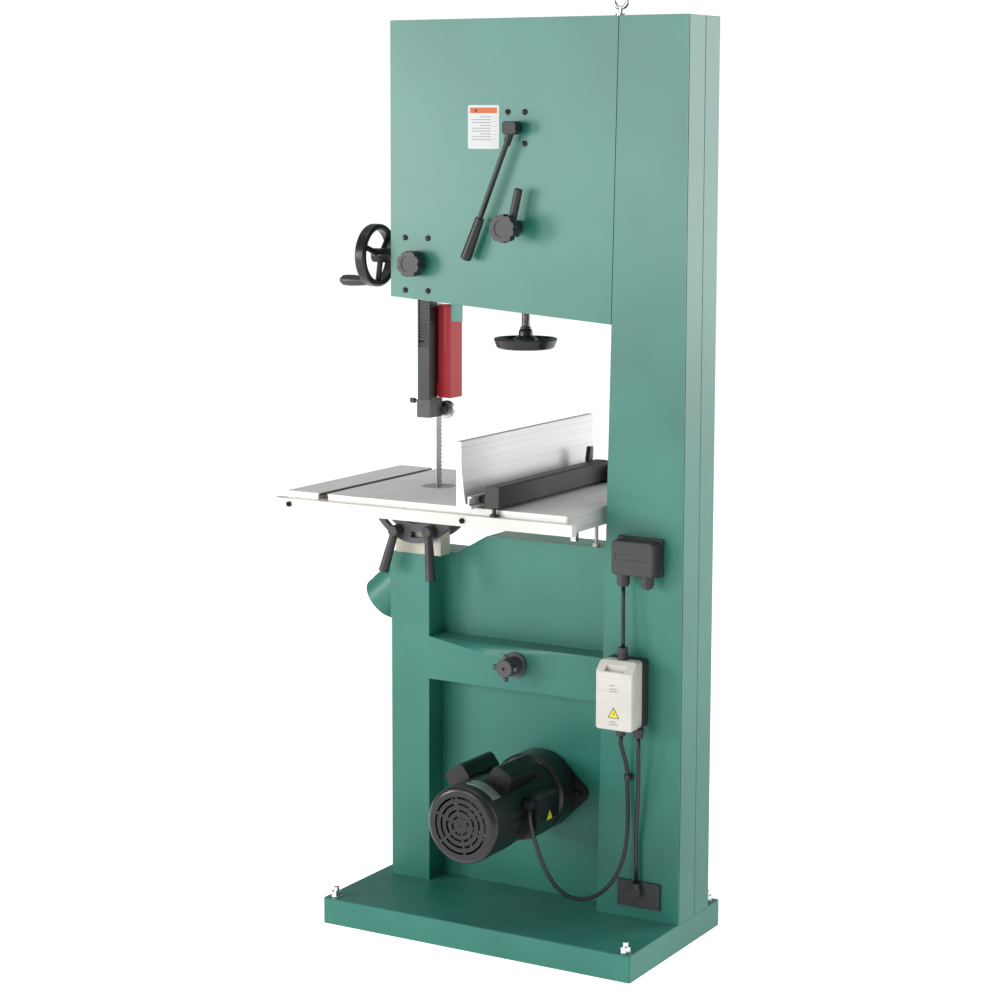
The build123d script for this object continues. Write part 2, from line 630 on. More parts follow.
# ---- tension carriage: block, axle, bearings, disc springs ----
CARRIAGE_Z = (1440.0, 1640.0)
SCREW_Y = 35.0
SPRING_COUNT = 8
with BuildPart() as tension_carriage:
    box_between((WHEEL_X - RAIL_GAP, WHEEL_X + RAIL_GAP), (PANEL_BACK + 2, BODY_BACK - SHEET - 2), CARRIAGE_Z)
    rod((WHEEL_X, SCREW_Y, CARRIAGE_Z[0]), (WHEEL_X, SCREW_Y, CARRIAGE_Z[0] + 104), SCREW_R + LOOSE,
        mode=Mode.SUBTRACT)
    rod((WHEEL_X, BODY_BACK - SHEET - 2, TRACKING_Z), (WHEEL_X, 50, TRACKING_Z), 6 + FIT, mode=Mode.SUBTRACT)
    rod((WHEEL_X, PANEL_BACK + 4, UPPER_Z), (WHEEL_X, BLADE_Y - 24, UPPER_Z), AXLE_R)
    rod((WHEEL_X, PANEL_BACK + 4, UPPER_Z), (WHEEL_X, BLADE_Y + 22, UPPER_Z), 22)
    bearing_pair(UPPER_Z)
    for turn in range(SPRING_COUNT):
        z = CARRIAGE_Z[0] - 3.0 * (turn + 1)
        rim = 0.3 if turn % 2 else 2.0
        eye = 2.0 if turn % 2 else 0.3
        with BuildSketch(Plane(origin=(WHEEL_X, SCREW_Y, z), x_dir=(1, 0, 0), z_dir=(0, -1, 0))):
            outline([(SCREW_R + 1.5, eye), (16, rim), (16, rim + 1), (SCREW_R + 1.5, eye + 1)])
        revolve(axis=Axis((WHEEL_X, SCREW_Y, z), (0, 0, 1)))
save(tension_carriage, "tension_carriage")

# ---- tension handwheel with its screw, under the head ----
TENSION_WHEEL_Z = 1223.0
TENSION_WHEEL_R = 66.0
with BuildPart() as tension_handwheel:
    with BuildSketch(Plane(origin=(WHEEL_X, SCREW_Y, TENSION_WHEEL_Z), x_dir=(1, 0, 0), z_dir=(0, -1, 0))):
        with BuildLine():
            Polyline(
                (0, -11), (55, -11), (60, -8), (TENSION_WHEEL_R, 8), (TENSION_WHEEL_R - 2, 11), (TENSION_WHEEL_R - 6, 11),
                (54, 0), (28, 0), (26, 9), (15, 16), (14, 26), (11, 30), (11, 34), (SCREW_R, 34),
                (SCREW_R, 300), (0, 300), (0, -11),
            )
        make_face()
    revolve(axis=Axis((WHEEL_X, SCREW_Y, TENSION_WHEEL_Z), (0, 0, 1)))
save(tension_handwheel, "tension_handwheel")

# ---- quick-release lever ----
LEVER_Y = 94.0
LEVER_END = (145.0, 1402.0)
with BuildPart() as tension_lever:
    rod((WHEEL_X, BODY_BACK + 0.4, TENSION_Z), (WHEEL_X, LEVER_Y, TENSION_Z), 12)
    with BuildSketch(at_y(LEVER_Y + 15)):
        with Locations((WHEEL_X, TENSION_Z)):
            RectangleRounded(34, 27, 9)
    extrude(amount=24)
    chamfer(tension_lever.faces().sort_by(Axis.Y)[-1].edges(), 1.5)
    rod((WHEEL_X, BODY_BACK + 1, TENSION_Z), (WHEEL_X, 56, TENSION_Z), 8)
    rod((WHEEL_X + 3, 60, TENSION_Z), (WHEEL_X + 3, 52, TENSION_Z), 14)
    lever_way = Vector(LEVER_END[0] - WHEEL_X, 0, LEVER_END[1] - TENSION_Z)
    unit = lever_way.normalized()
    hub_centre = Vector(WHEEL_X, LEVER_Y, TENSION_Z)
    rod(tuple(hub_centre), tuple(hub_centre + lever_way), 5.5)
    rod(tuple(hub_centre + unit * 8), tuple(hub_centre + unit * 30), 8)
    grip_start = hub_centre + unit * (lever_way.length - 84)
    with BuildSketch(Plane(origin=grip_start, z_dir=unit)):
        Circle(9.5)
    extrude(amount=92, taper=-1.4)
    fillet(tension_lever.edges().filter_by(GeomType.CIRCLE).sort_by(Axis.Z)[0], 5)
save(tension_lever, "tension_lever")


# ---- fluted knobs ----
def fluted_knob(x, z, y_back, y_face, radius, flutes, spindle_r, spindle_end):
    """Round knob on the back of the head with finger flutes, a dished face and its spindle."""
    with BuildPart() as knob:
        rod((x, y_back, z), (x, y_back + 8, z), radius * 0.55)
        with BuildSketch(at_y(y_face)):
            with Locations((x, z)):
                Circle(radius)
                with PolarLocations(radius + 3.2, flutes):
                    Circle(6, mode=Mode.SUBTRACT)
        extrude(amount=y_face - y_back - 7)
        with BuildSketch(at_y(y_face)):
            with Locations((x, z)):
                Circle(radius * 0.6)
        extrude(amount=1.6, mode=Mode.SUBTRACT)
        rod((x, y_back + 1, z), (x, spindle_end, z), spindle_r)
    return knob


save(fluted_knob(WHEEL_X, TRACKING_Z, 110, 137, 29, 10, 6, 52), "tracking_knob")
save(fluted_knob(POST_X, LOCK_KNOB_Z, BODY_BACK + 2, 110, 27, 8, 5, 69.4), "guide_lock_knob")

TRACKING_LEVER_TIP = (20.0, 1542.0)
with BuildPart() as tracking_lock_lever:
    rod((WHEEL_X, BODY_BACK + 3, TRACKING_Z), (WHEEL_X, 108, TRACKING_Z), 15)
    way = Vector(TRACKING_LEVER_TIP[0] - WHEEL_X, 0, TRACKING_LEVER_TIP[1] - TRACKING_Z)
    start = Vector(WHEEL_X, 98, TRACKING_Z)
    rod(tuple(start), tuple(start + way), 8.5)
    fillet(tracking_lock_lever.edges().filter_by(GeomType.CIRCLE).sort_by(Axis.Z)[-1], 3)
    rod((WHEEL_X, BODY_BACK, TRACKING_Z), (WHEEL_X, 110, TRACKING_Z), 6 + LOOSE, mode=Mode.SUBTRACT)
save(tracking_lock_lever, "tracking_lock_lever")

# ---- guide post with its rack ----
PINION_Y = POST_Y + POST_D / 2 - ADDENDUM + PINION_REACH
with BuildPart() as guide_post:
    box_between((POST_X - POST_W / 2, POST_X + POST_W / 2), (POST_Y - POST_D / 2, POST_Y + POST_D / 2), POST_Z)
    chamfer(guide_post.edges().filter_by(Axis.Z), 1.5)
    teeth = [(PINION_Z + TOOTH_PITCH * (turn - 30)) for turn in range(RACK_TEETH)]
    with BuildSketch(at_x(POST_X - 12)):
        with Locations(*[(POST_Y + POST_D / 2, z) for z in teeth]):
            Rectangle(5.2, 3.9)
    extrude(amount=24, mode=Mode.SUBTRACT)
save(guide_post, "guide_post")

# ---- bracket that guides the post inside the head, with the green tab that shields the blade ----
with BuildPart() as guide_post_bracket:
    box_between((POST_X - 40, POST_X + 41), (PANEL_BACK, BODY_BACK - SHEET), (1314, 1447))
    box_between((POST_X - POST_W / 2 - POST_FIT, POST_X + POST_W / 2 + POST_FIT),
                (POST_Y - POST_D / 2 - POST_FIT, POST_Y + POST_D / 2 + POST_FIT), (1300, 1460), mode=Mode.SUBTRACT)
    rod((POST_X - 14, PINION_Y, PINION_Z), (POST_X + 14, PINION_Y, PINION_Z), 12.3, mode=Mode.SUBTRACT)
    rod((POST_X + 10, PINION_Y, PINION_Z), (POST_X + 50, PINION_Y, PINION_Z), 7 + FIT, mode=Mode.SUBTRACT)
    with BuildSketch(at_y(BODY_BACK - SHEET)):
        with Locations(*post_screws):
            Circle(TAP_R)
    extrude(amount=12, mode=Mode.SUBTRACT)
    box_between((206, 233), (FRONT_OF_PANEL - SHEET, FRONT_OF_PANEL), (1258, 1345))
save(guide_post_bracket, "guide_post_bracket")

# ---- handwheel that raises the post, with its pinion shaft, and the turning grip on its pin ----
RIM_X = 392.0
RIM_R = 60.0
GRIP_Y = PINION_Y - 7
GRIP_Z = PINION_Z - 56
with BuildPart() as guide_handwheel:
    with BuildSketch(Plane(origin=(RIM_X, PINION_Y, PINION_Z), x_dir=(1, 0, 0), z_dir=(0, -1, 0))):
        with Locations((0, RIM_R)):
            RectangleRounded(26, 13, 6)
    revolve(axis=Axis((RIM_X, PINION_Y, PINION_Z), (1, 0, 0)))
    rod((BODY_X + 3, PINION_Y, PINION_Z), (RIM_X + 4, PINION_Y, PINION_Z), 15)
    for turn in range(3):
        angle = radians(83 + 120 * turn)
        rod((RIM_X - 12, PINION_Y, PINION_Z),
            (RIM_X, PINION_Y - 58 * cos(angle), PINION_Z - 58 * sin(angle)), 6)
    rod((POST_X + 11, PINION_Y, PINION_Z), (BODY_X + 5, PINION_Y, PINION_Z), 7)
    rod((POST_X - 11, PINION_Y, PINION_Z), (POST_X + 12, PINION_Y, PINION_Z), 8.6)
    with BuildSketch(at_x(POST_X - 11)):
        with Locations((PINION_Y, PINION_Z)):
            with PolarLocations(9.2, PINION_TEETH, start_angle=180):
                Rectangle(3.6, 2.2)
    extrude(amount=22)
    rod((RIM_X, GRIP_Y, GRIP_Z), (486, GRIP_Y, GRIP_Z), 4)
    rod((482, GRIP_Y, GRIP_Z), (486, GRIP_Y, GRIP_Z), 6)
save(guide_handwheel, "guide_handwheel")

with BuildPart() as guide_handwheel_grip:
    with BuildSketch(Plane(origin=(408, GRIP_Y, GRIP_Z), x_dir=(1, 0, 0), z_dir=(0, -1, 0))):
        with BuildLine():
            Polyline((0, 4 + FIT), (0, 8.5))
            Spline((0, 8.5), (26, 10.5), (52, 12), (72, 10.5))
            Polyline((72, 10.5), (73.5, 8), (73.5, 4 + FIT), (0, 4 + FIT))
        make_face()
    revolve(axis=Axis((408, GRIP_Y, GRIP_Z), (1, 0, 0)))
save(guide_handwheel_grip, "guide_handwheel_grip")

# ---- red blade guard on the post ----
GUARD_X = 236.0
GUARD_TOP = 1290.0
GUARD_LOW = 1094.0
with BuildPart() as blade_guard:
    with BuildSketch(Plane.XY.offset(GUARD_LOW)):
        outline(
            [
                (POST_X - 13, 8),
                (GUARD_X, 8),
                (GUARD_X, -40),
                (POST_X + 22, -40),
                (POST_X + 22, -38),
                (GUARD_X + 2, -38),
                (GUARD_X + 2, 6),
                (POST_X - 13, 6),
            ]
        )
    extrude(amount=GUARD_TOP - GUARD_LOW)
    box_between((POST_X - 13, POST_X + 12), (6, POST_Y - POST_D / 2), (1098, 1126))
    with BuildSketch(at_y(9)):
        with Locations((POST_X - 29, 1240)):
            SlotOverall(90, 5, rotation=90)
        with Locations((POST_X - 29, 1150)):
            Rectangle(12, 2)
    extrude(amount=4, mode=Mode.SUBTRACT)
save(blade_guard, "blade_guard")

# ---- upper guide block, disc guides and thrust bearing ----
DISC_R = 19.0
DISC_W = 10.0
DISC_GAP = 0.5
DISC_Z = 1067.0
THRUST_R = 11.0
THRUST_Y = BLADE_Y + BLADE_W / 2 + DISC_GAP + THRUST_R
disc_offset = BLADE_T / 2 + DISC_GAP + DISC_R
with BuildPart() as upper_guide_block:
    box_between((POST_X - 15, POST_X + 17), (-5, POST_Y + POST_D / 2), (DISC_Z - 13, POST_Z[0]))
    box_between((BLADE_X - 6, BLADE_X + 6), (-8, THRUST_Y + THRUST_R + 1), (DISC_Z - 14, DISC_Z + 13),
                mode=Mode.SUBTRACT)
    rod((BLADE_X - 12, THRUST_Y, DISC_Z), (BLADE_X + 12, THRUST_Y, DISC_Z), 3)
    for side in (-1, 1):
        x = BLADE_X + side * disc_offset
        rod((x, -3, DISC_Z), (x, BLADE_Y - 7, DISC_Z), 4)
        rod((x, -3, DISC_Z), (x, -9, DISC_Z), 7.5)
        box_between(sorted((x, POST_X + side * 8)), (-9, -3), (DISC_Z - 5, DISC_Z + 5))
    rod((POST_X + 14, 20, POST_Z[0] - 6), (POST_X + 42, 20, POST_Z[0] - 6), 2.5)
    rod((POST_X + 38, 20, POST_Z[0] - 6), (POST_X + 48, 20, POST_Z[0] - 6), 5.5)
save(upper_guide_block, "upper_guide_block")


def disc_guide(side):
    """Ball-bearing disc that runs beside the blade."""
    x = BLADE_X + side * disc_offset
    with BuildPart() as disc:
        with BuildSketch(along_y(x, DISC_Z, BLADE_Y)):
            with BuildLine():
                Polyline((4 + FIT, -5), (8, -5), (8, -4), (14, -4), (14, -5), (DISC_R - 1, -5), (DISC_R, -4),
                         (DISC_R, 4), (DISC_R - 1, 5), (14, 5), (14, 4), (8, 4), (8, 5), (4 + FIT, 5), close=True)
            make_face()
        revolve(axis=Axis((x, BLADE_Y, DISC_Z), (0, 1, 0)))
    return disc


save(disc_guide(-1), "upper_disc_guide_column_side")
save(disc_guide(1), "upper_disc_guide_open_side")

with BuildPart() as upper_thrust_bearing:
    with BuildSketch(at_x(BLADE_X - 4)):
        with Locations((THRUST_Y, DISC_Z)):
            Circle(THRUST_R)
            Circle(3 + FIT, mode=Mode.SUBTRACT)
    extrude(amount=8)
save(upper_thrust_bearing, "upper_thrust_bearing")

# ---- lower guides with the wheel brush ----
LOWER_DISC_R = 14.0
BRUSH_LEN = 17.0
LOWER_DISC_Z = 824.0
lower_offset = BLADE_T / 2 + DISC_GAP + LOWER_DISC_R
lower_thrust_y = BLADE_Y + BLADE_W / 2 + DISC_GAP + 8
with BuildPart() as lower_guides:
    box_between((BLADE_X - 17, BLADE_X + 17), (4.5, 17), (LEG_TOP, LOWER_DISC_Z + 12))
    box_between((BLADE_X - 5, BLADE_X + 5), (-4, 12.5), (LOWER_DISC_Z - 12, LOWER_DISC_Z + 12.5), mode=Mode.SUBTRACT)
    rod((BLADE_X - 10, lower_thrust_y, LOWER_DISC_Z), (BLADE_X + 10, lower_thrust_y, LOWER_DISC_Z), 3)
    with BuildSketch(at_x(BLADE_X - 3.5)):
        with Locations((lower_thrust_y, LOWER_DISC_Z)):
            Circle(8)
    extrude(amount=7)
    for side in (-1, 1):
        x = BLADE_X + side * lower_offset
        rod((x, -22, LOWER_DISC_Z), (x, -10, LOWER_DISC_Z), LOWER_DISC_R)
        rod((x, -10, LOWER_DISC_Z), (x, 6, LOWER_DISC_Z), 5)
    brush_turn = radians(-35)
    brush_way = Vector(cos(brush_turn), 0, sin(brush_turn))
    brush_root = Vector(WHEEL_X, BLADE_Y + 10, LOWER_Z) + brush_way * (blade_inner + BLADE_T + BRUSH_LEN + 0.6)
    with BuildSketch(Plane(origin=brush_root - brush_way * BRUSH_LEN, x_dir=(0, 1, 0), z_dir=brush_way)):
        Rectangle(26, 30)
    extrude(amount=30)
    box_between((brush_root.X - 8, brush_root.X + 14), (BLADE_Y + 20, FRONT_OF_PANEL),
                (brush_root.Z - 20, brush_root.Z + 2))
save(lower_guides, "lower_guides")

# ---- dust port, pointing outwards and down from the leg ----
port_way = Vector(cos(radians(PORT_ANGLE)), 0, -sin(radians(PORT_ANGLE)))
port_root = Vector(BODY_X, 21, PORT_Z)
PORT_WALL = 2.5
PORT_ROOT = 48.0
with BuildPart() as dust_port:
    rod(tuple(port_root - port_way * 60), tuple(port_root + port_way * PORT_LEN), PORT_R)
    # a slightly fuller root leaves a plain round land for the hose
    rod(tuple(port_root - port_way * 60), tuple(port_root + port_way * PORT_ROOT), PORT_R + 0.8)
    rod(tuple(port_root - port_way * 70), tuple(port_root + port_way * (PORT_LEN + 1)), PORT_R - PORT_WALL,
        mode=Mode.SUBTRACT)
    box_between((BODY_X - 100, BODY_X + 0.6), (-60, 100), (550, 850), mode=Mode.SUBTRACT)
    box_between((BODY_X, BODY_X + 3), (SEAM_Y + 1, BODY_BACK), (PORT_Z - 72, PORT_Z + 72))
    rod(tuple(port_root - port_way * 70), tuple(port_root + port_way * (PORT_LEN + 1)), PORT_R - PORT_WALL,
        mode=Mode.SUBTRACT)
save(dust_port, "dust_port")

# ---- trunnion base on the lower housing, with the table's stop bolt ----
stud_spots = [
    (BLADE_X + ARC_R * sin(radians(angle)), TABLE_TOP - ARC_R * cos(radians(angle))) for angle in STUD_ANGLES
]
ARC_Y = ((20.0, 32.0), (73.0, 85.0))
STOP_X = -115.0
with BuildPart() as trunnion_base:
    box_between((BLADE_X - 58, BLADE_X + 54), (33, 71), (LEG_TOP, 818))
    for x, z in stud_spots:
        rod((x, 71, z), (x, 33, z), 13)
    box_between((BLADE_X - 40, BLADE_X + 40), (40, 64), (LEG_TOP + 14, 811), mode=Mode.SUBTRACT)
    for x, z in stud_spots:
        rod((x, 100, z), (x, 10, z), STUD_R + FIT, mode=Mode.SUBTRACT)
        rod((x, 19.5, z), (x, 13, z), 11)
        rod((x, 19.5, z), (x, 50, z), STUD_R)
    rod((STOP_X, 5, HOUSING_TOP), (STOP_X, 5, TABLE_TOP - TABLE_T - 0.4), 4)
    with BuildSketch(Plane.XY.offset(HOUSING_TOP)):
        with Locations((STOP_X, 5)):
            RegularPolygon(9, 6)
    extrude(amount=8)
save(trunnion_base, "trunnion_base")


# ---- trunnions: two slotted arcs bolted under the table ----
def arc_slot(start, end):
    """Curved slot about the tilt axis between two angles from straight down."""
    half = STUD_R + 0.5
    points = []
    for radius in (ARC_R - half, ARC_R + half):
        for angle in (start, (start + end) / 2, end):
            turn = radians(angle)
            points.append((BLADE_X + radius * sin(turn), TABLE_TOP - radius * cos(turn)))
    with BuildLine() as border:
        ThreePointArc(points[0], points[1], points[2])
        Line(points[2], points[5])
        ThreePointArc(points[5], points[4], points[3])
        Line(points[3], points[0])
    make_face(border.edges(), mode=Mode.SUBTRACT)


with BuildPart() as trunnions:
    for back, front in ((ARC_Y[0][1], ARC_Y[0][0]), (ARC_Y[1][1], ARC_Y[1][0])):
        with BuildSketch(at_y(back)):
            with Locations((BLADE_X, TABLE_TOP)):
                Circle(ARC_OUTER)
                Circle(68, mode=Mode.SUBTRACT)
            with Locations((BLADE_X, TABLE_TOP + ARC_OUTER - TABLE_T)):
                Rectangle(3 * ARC_OUTER, 2 * ARC_OUTER, mode=Mode.SUBTRACT)
            for angle in STUD_ANGLES:
                arc_slot(angle - 4.5, angle + TILT_MAX + 4.5)
            with Locations((BLADE_X, TABLE_TOP - TABLE_T - 4)):
                Rectangle(2 * ARC_OUTER - 6, 8)
        extrude(amount=back - front)
save(trunnions, "trunnions")


# ---- ratchet levers that lock the trunnions ----
def tilt_lever(spot, end):
    """Ratchet lever with its washer and stud through the trunnion arc."""
    x, z = spot
    with BuildPart() as lever:
        rod((x, 66, z), (x, 112, z), STUD_R)
        rod((x, 85.4, z), (x, 88, z), 13)
        rod((x, 89, z), (x, 112, z), 12)
        fillet(lever.faces().sort_by(Axis.Y)[-1].edges(), 3)
        way = Vector(end[0] - x, 6, end[1] - z)
        with BuildSketch(Plane(origin=(x, 101, z), z_dir=way)):
            Circle(8.5)
        extrude(amount=way.length, taper=-1.5)
    return lever


save(tilt_lever(stud_spots[1], (342, 728)), "tilt_lever_open_side")
save(tilt_lever(stud_spots[0], (224, 716)), "tilt_lever_column_side")

# ---- table ----
INSERT_HOLE_R = 32.0
INSERT_DEPTH = 3.0
with BuildPart() as table:
    box_between(TABLE_X, TABLE_Y, (TABLE_TOP - TABLE_T, TABLE_TOP))
    fillet(table.edges().filter_by(Axis.Z), 3)
    chamfer(table.faces().sort_by(Axis.Z)[-1].edges(), 0.8)
    with Locations((BLADE_X, BLADE_Y, TABLE_TOP)):
        CounterBoreHole(INSERT_HOLE_R, INSERT_R, INSERT_DEPTH, TABLE_T + 1)
    # casting pockets between the ribs
    for x in ((-143, 20), (32, 180), (460, 511)):
        for y in ((-233, -26), (-10, 193)):
            box_between(x, y, (TABLE_TOP - TABLE_T, TABLE_TOP - TABLE_SKIN), mode=Mode.SUBTRACT)
    # mitre slot
    box_between((MITRE_X - 9.6, MITRE_X + 9.6), TABLE_Y, (TABLE_TOP - 10, TABLE_TOP), mode=Mode.SUBTRACT)
    box_between((MITRE_X - 12.5, MITRE_X + 12.5), TABLE_Y, (TABLE_TOP - 10, TABLE_TOP - 6), mode=Mode.SUBTRACT)
    # slit for changing the blade, with the pin's hole
    box_between((BLADE_X - 1.3, BLADE_X + 1.3), (TABLE_Y[0], BLADE_Y - 20), (TABLE_TOP - TABLE_T, TABLE_TOP),
                mode=Mode.SUBTRACT)
    rod((BLADE_X, TABLE_Y[0], 882), (BLADE_X, TABLE_Y[0] + 22, 882), 5, mode=Mode.SUBTRACT)
save(table, "table")

SCREW_XS = (76.0, 502.0)
SCREW_Z = 875.0
with BuildPart() as table_fittings:
    with BuildSketch(Plane.XY.offset(TABLE_TOP - INSERT_DEPTH)):
        with Locations((BLADE_X, BLADE_Y)):
            Circle(INSERT_R - 0.3)
            with Locations((0, 0)):
                Rectangle(7, 30, mode=Mode.SUBTRACT)
        with Locations((BLADE_X, BLADE_Y - 25)):
            Rectangle(2.6, 30, mode=Mode.SUBTRACT)
    extrude(amount=INSERT_DEPTH)
    rod((BLADE_X, TABLE_Y[0] + 1, 882), (BLADE_X, TABLE_Y[0] + 21, 882), 4.95)
    for x in SCREW_XS:
        rod((x, TABLE_Y[1], SCREW_Z), (x, TABLE_Y[1] + RAIL_D, SCREW_Z), 3)
        rod((x, TABLE_Y[1] + RAIL_D, SCREW_Z), (x, TABLE_Y[1] + RAIL_D + 4, SCREW_Z), 5.5)
        # the front screws are flush, so that the fence can pass over them
        rod((x, TABLE_Y[0], SCREW_Z), (x, TABLE_Y[0] - RAIL_D, SCREW_Z), 3)
    box_between((-137, -125), (124, 136), (838, TABLE_TOP - TABLE_SKIN))
save(table_fittings, "table_fittings")


RAIL_WALL = 2.5
with BuildPart() as fence_rails:
    for back in (TABLE_Y[1] + RAIL_D, TABLE_Y[0]):
        box_between(RAIL_X, (back - RAIL_D, back), RAIL_Z)
    fillet(fence_rails.edges().filter_by(Axis.X), 1.2)
    for back in (TABLE_Y[1] + RAIL_D, TABLE_Y[0]):
        box_between((RAIL_X[0] + RAIL_WALL, RAIL_X[1] - RAIL_WALL), (back - RAIL_D + RAIL_WALL, back - RAIL_WALL),
                    (RAIL_Z[0] + RAIL_WALL, RAIL_Z[1] - RAIL_WALL), mode=Mode.SUBTRACT)
        for x in SCREW_XS:
            rod((x, back - RAIL_D - 1, SCREW_Z), (x, back + 1, SCREW_Z), 3 + LOOSE, mode=Mode.SUBTRACT)
save(fence_rails, "fence_rails")

# ---- fence: tall extrusion, beam with clamp, lock lever ----
FENCE_X = 83.0
FENCE_Y = (-325.0, 238.0)
FENCE_Z = (902.0, 1038.0)
BEAM_X = (-8.0, 24.0)
with BuildPart() as fence_face:
    with BuildSketch(at_y(FENCE_Y[1])):
        outline(
            [
                (FENCE_X, FENCE_Z[0]),
                (FENCE_X, FENCE_Z[1]),
                (FENCE_X - 13, FENCE_Z[1]),
                (FENCE_X - 13, FENCE_Z[0] + 86),
                (FENCE_X - 20, FENCE_Z[0] + 26),
                (FENCE_X - 23, FENCE_Z[0] + 10),
                (FENCE_X - 27, FENCE_Z[0] + 10),
                (FENCE_X - 27, FENCE_Z[0] + 26),
                (FENCE_X - 36, FENCE_Z[0] + 26),
                (FENCE_X - 36, FENCE_Z[0] + 22),
                (FENCE_X - 31, FENCE_Z[0] + 22),
                (FENCE_X - 31, FENCE_Z[0] + 7),
                (FENCE_X - 36, FENCE_Z[0] + 7),
                (FENCE_X - 36, FENCE_Z[0]),
            ]
        )
    extrude(amount=FENCE_Y[1] - FENCE_Y[0])
save(fence_face, "fence_face")

with BuildPart() as fence_carriage:
    box_between(BEAM_X, (TABLE_Y[0] - 5, 224), (907, 949))
    chamfer(fence_carriage.edges().filter_by(Axis.Y).group_by(Axis.Z)[-1], 3)
    box_between((-60, 40), (TABLE_Y[0] - 56, TABLE_Y[0] - RAIL_D - 0.6), (868, 940))
    box_between((-60, 40), (TABLE_Y[0] - 56, TABLE_Y[0] - 4), (905, 940))
    for y in (196, -150):
        rod((BEAM_X[1], y, 917), (FENCE_X - 31, y, 917), 5)
        rod((BEAM_X[1] + 12, y, 917), (FENCE_X - 42, y, 917), 9)
    rod((8, 214, 907), (8, 214, RAIL_Z[1] + 3), 4)
    rod((8, 214, RAIL_Z[1] + 5), (8, 214, RAIL_Z[1] + 0.4), 9)
save(fence_carriage, "fence_carriage")

LEVER_PIVOT = (24.3, -228.0, 926.0)
with BuildPart() as fence_lever:
    rod(LEVER_PIVOT, (34, LEVER_PIVOT[1], LEVER_PIVOT[2]), 11)
    with BuildSketch(Plane(origin=LEVER_PIVOT, x_dir=(0, 1, 0), z_dir=(1, 0, 0))):
        with BuildLine():
            Polyline((-8, 0), (8, 0), (4, 30), (-2, 52), (-14, 52), (-12, 30), close=True)
        make_face()
    extrude(amount=10)
save(fence_lever, "fence_lever")

# ---- motor ----
LOBE_X = 92.0
PLATE_T = 8.0
motor_plane = along_y(MOTOR_X, MOTOR_Z, 0)
motor_axis = Axis((MOTOR_X, 0, MOTOR_Z), (0, 1, 0))
with BuildPart() as motor_plate:
    with BuildSketch(at_y(PANEL_BACK + PLATE_T)):
        with Locations((MOTOR_X, MOTOR_Z)):
            Circle(83)
            with Locations((-LOBE_X, 0), (LOBE_X, 0)):
                Circle(20)
            make_hull()
            Circle(40, mode=Mode.SUBTRACT)
    extrude(amount=PLATE_T)
    for side in (-1, 1):
        rod((MOTOR_X + side * LOBE_X, PANEL_BACK + PLATE_T, MOTOR_Z), (MOTOR_X + side * LOBE_X, 29, MOTOR_Z), 6.5)
save(motor_plate, "motor_plate")

MOTOR_FRONT = PANEL_BACK + PLATE_T
with BuildPart() as motor_body:
    with BuildSketch(motor_plane):
        outline(
            [
                (AXLE_R + LOOSE, MOTOR_FRONT),
                (BELL_R, MOTOR_FRONT),
                (BELL_R, 76),
                (BELL_R - 3, 80),
                (MOTOR_R, 82),
                (MOTOR_R, 262),
                (AXLE_R + LOOSE, 262),
                (AXLE_R + LOOSE, 256),
                (68, 256),
                (68, 210),
                (48, 210),
                (48, 90),
                (68, 90),
                (68, MOTOR_FRONT + 10),
                (AXLE_R + LOOSE, MOTOR_FRONT + 10),
            ]
        )
    revolve(axis=motor_axis)
save(motor_body, "motor_body")

SLOT_RINGS = (18.0, 31.0, 44.0, 57.0)
with BuildPart() as fan_cowl:
    with BuildSketch(motor_plane):
        with BuildLine():
            Polyline((0, MOTOR_END), (COWL_R - 14, MOTOR_END))
            ThreePointArc((COWL_R - 14, MOTOR_END), (COWL_R - 4, MOTOR_END - 4), (COWL_R, MOTOR_END - 14))
            Polyline((COWL_R, MOTOR_END - 14), (COWL_R, COWL_BACK), (MOTOR_R + 0.2, COWL_BACK),
                     (MOTOR_R + 0.2, MOTOR_END - 14), (COWL_R - 14, MOTOR_END - 2.5), (0, MOTOR_END - 2.5), (0, MOTOR_END))
        make_face()
    revolve(axis=motor_axis)
    with BuildSketch(at_y(MOTOR_END)):
        with Locations((MOTOR_X, MOTOR_Z)):
            for ring in reversed(SLOT_RINGS):
                Circle(ring + 2.2)
                Circle(ring - 2.2, mode=Mode.SUBTRACT)
            with PolarLocations(0, 3, start_angle=20):
                Rectangle(150, 5.5, mode=Mode.SUBTRACT)
            Circle(2.5)
    extrude(amount=4, mode=Mode.SUBTRACT)
save(fan_cowl, "fan_cowl")

